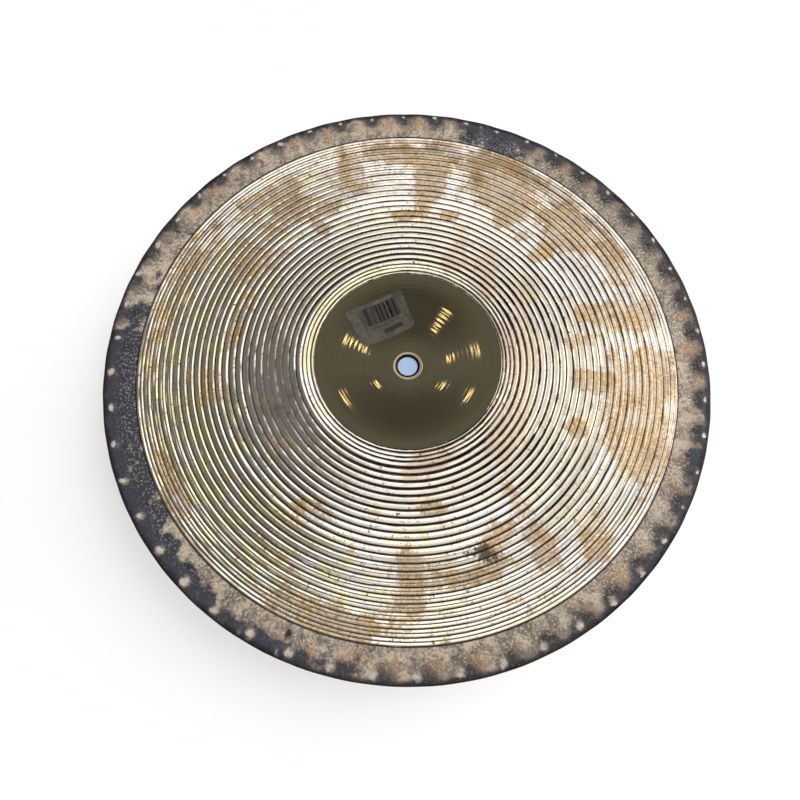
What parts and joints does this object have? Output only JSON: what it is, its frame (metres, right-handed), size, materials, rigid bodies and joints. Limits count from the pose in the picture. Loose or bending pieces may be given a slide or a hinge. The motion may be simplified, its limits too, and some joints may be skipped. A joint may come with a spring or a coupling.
{
  "type": "crash cymbal",
  "caption": "Thin bronze cymbal lying hollow side up: domed bell with a stand hole, grooved bow, rippled raw rim, and a paper label inside the bell.",
  "frame": {"origin": "on the axis of the stand hole, at the lowest face of the bell, on which the cymbal lies", "axes": "+Z along the cymbal's axis out of its hollow side, +X to the right and +Y away from a viewer who reads the hollow face with the label at the upper left"},
  "size_m": [0.3556, 0.3556, 0.027],
  "materials": {
    "bronze": "polished",
    "label_paper": "matte"
  },
  "bodies": {
    "root": {"cymbal_plate": "bronze", "price_label": "label_paper"}
  },
  "joints": []
}
